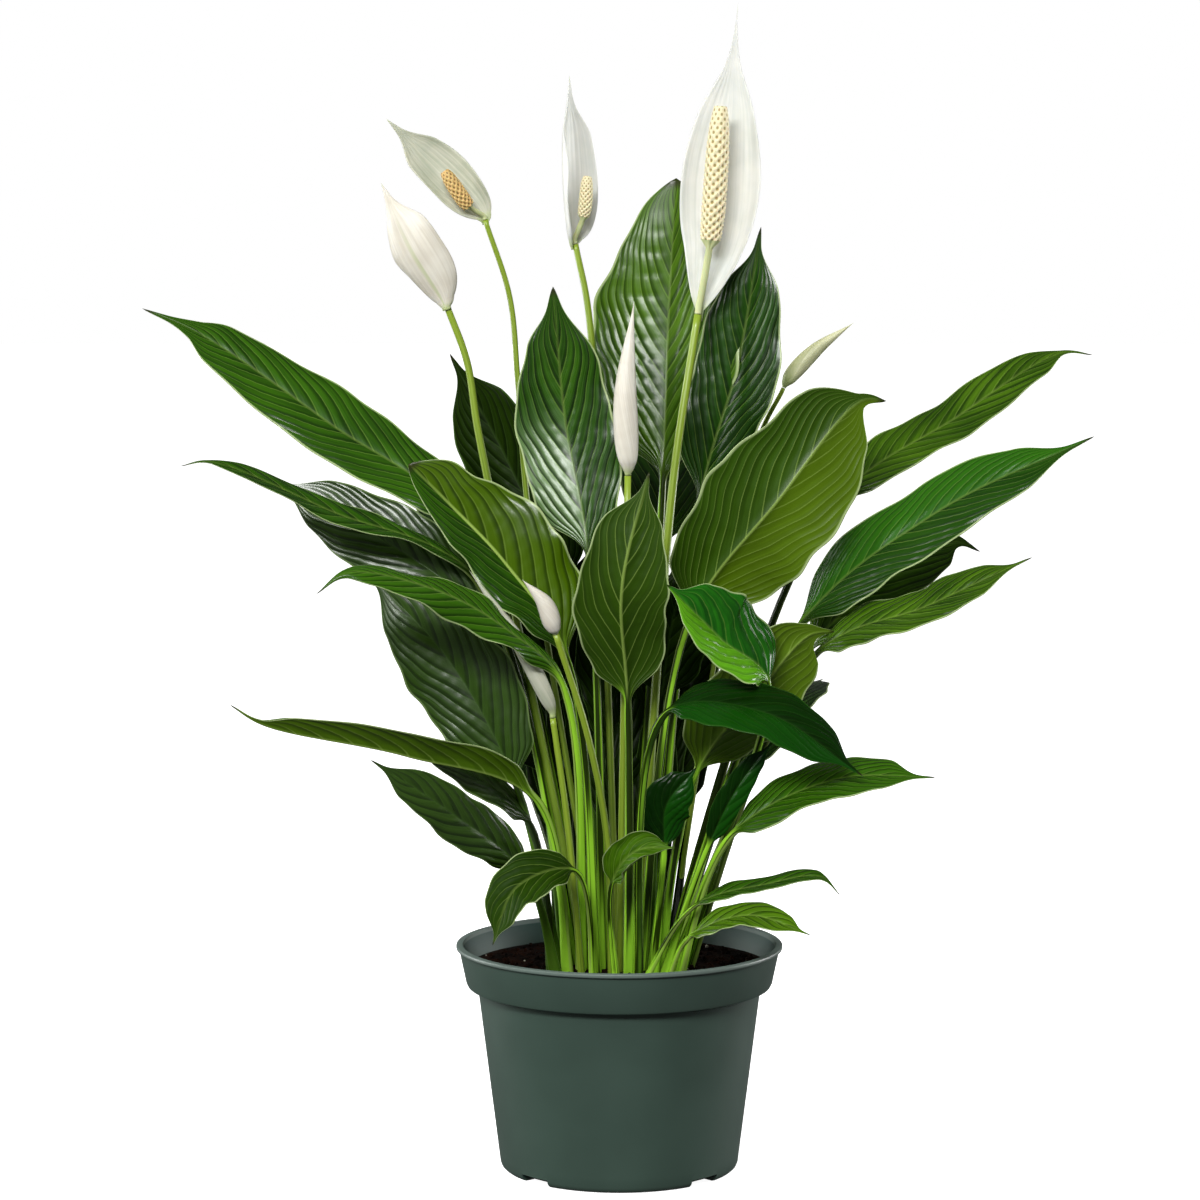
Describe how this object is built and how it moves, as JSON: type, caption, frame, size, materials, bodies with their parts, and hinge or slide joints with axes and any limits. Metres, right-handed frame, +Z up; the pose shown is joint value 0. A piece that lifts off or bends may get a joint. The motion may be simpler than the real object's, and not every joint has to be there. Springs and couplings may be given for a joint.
{
  "type": "potted peace lily",
  "caption": "Peace lily with long glossy leaves and white hooded flowers on tall stems, growing from dark soil in a round grower's pot.",
  "frame": {"origin": "middle of the pot's flat base", "axes": "+Z up, -Y towards the plant's front, +X to the right as seen from the front"},
  "size_m": [0.4935, 0.2884, 0.5861],
  "materials": {
    "pot": "satin",
    "soil": "rough",
    "leaf": "gloss",
    "stalk": "satin",
    "spathe": "satin",
    "spadix": "matte"
  },
  "bodies": {
    "root": {"pot": "pot", "soil": "soil", "leaf_left_high": "leaf", "leaf_back_left_dark": "leaf", "leaf_left_front": "leaf", "leaf_left_slim": "leaf", "leaf_left_shaded": "leaf", "leaf_left_folded": "leaf", "leaf_left_broad": "leaf", "leaf_left_low": "leaf", "leaf_left_low_dark": "leaf", "leaf_left_hanging": "leaf", "leaf_over_rim": "leaf", "leaf_small_front": "leaf", "leaf_round_front": "leaf", "leaf_centre_front": "leaf", "leaf_right_large": "leaf", "leaf_top_left": "leaf", "leaf_top_right": "leaf", "leaf_inner_left": "leaf", "leaf_right_high": "leaf", "leaf_right_long": "leaf", "leaf_right_shaded": "leaf", "leaf_right_slim": "leaf", "leaf_right_olive": "leaf", "leaf_right_curled": "leaf", "leaf_right_dark": "leaf", "leaf_right_low": "leaf", "leaf_right_narrow": "leaf", "leaf_right_lowest": "leaf", "leaf_right_rim": "leaf", "leaf_inner_right": "leaf", "leaf_inner_low_left": "leaf", "leaf_inner_low_centre": "leaf", "leaf_back_right": "leaf", "leaf_back_centre": "leaf", "leaf_back_left": "leaf", "leaf_back_low_right": "leaf", "leaf_back_low_left": "leaf", "leaf_back_low_centre": "leaf", "flower_tall_stem": "stalk", "flower_tall_hood": "spathe", "flower_tall_spike": "spadix", "flower_upper_left_stem": "stalk", "flower_upper_left_hood": "spathe", "flower_upper_left_spike": "spadix", "flower_cream_stem": "stalk", "flower_cream_hood": "spathe", "flower_cream_spike": "spadix", "flower_top_centre_stem": "stalk", "flower_top_centre_hood": "spathe", "flower_top_centre_spike": "spadix", "flower_right_bud_stem": "stalk", "flower_right_bud_hood": "spathe", "flower_centre_bud_stem": "stalk", "flower_centre_bud_hood": "spathe", "flower_small_bud_stem": "stalk", "flower_small_bud_hood": "spathe", "flower_left_bud_stem": "stalk", "flower_left_bud_hood": "spathe"}
  },
  "joints": []
}
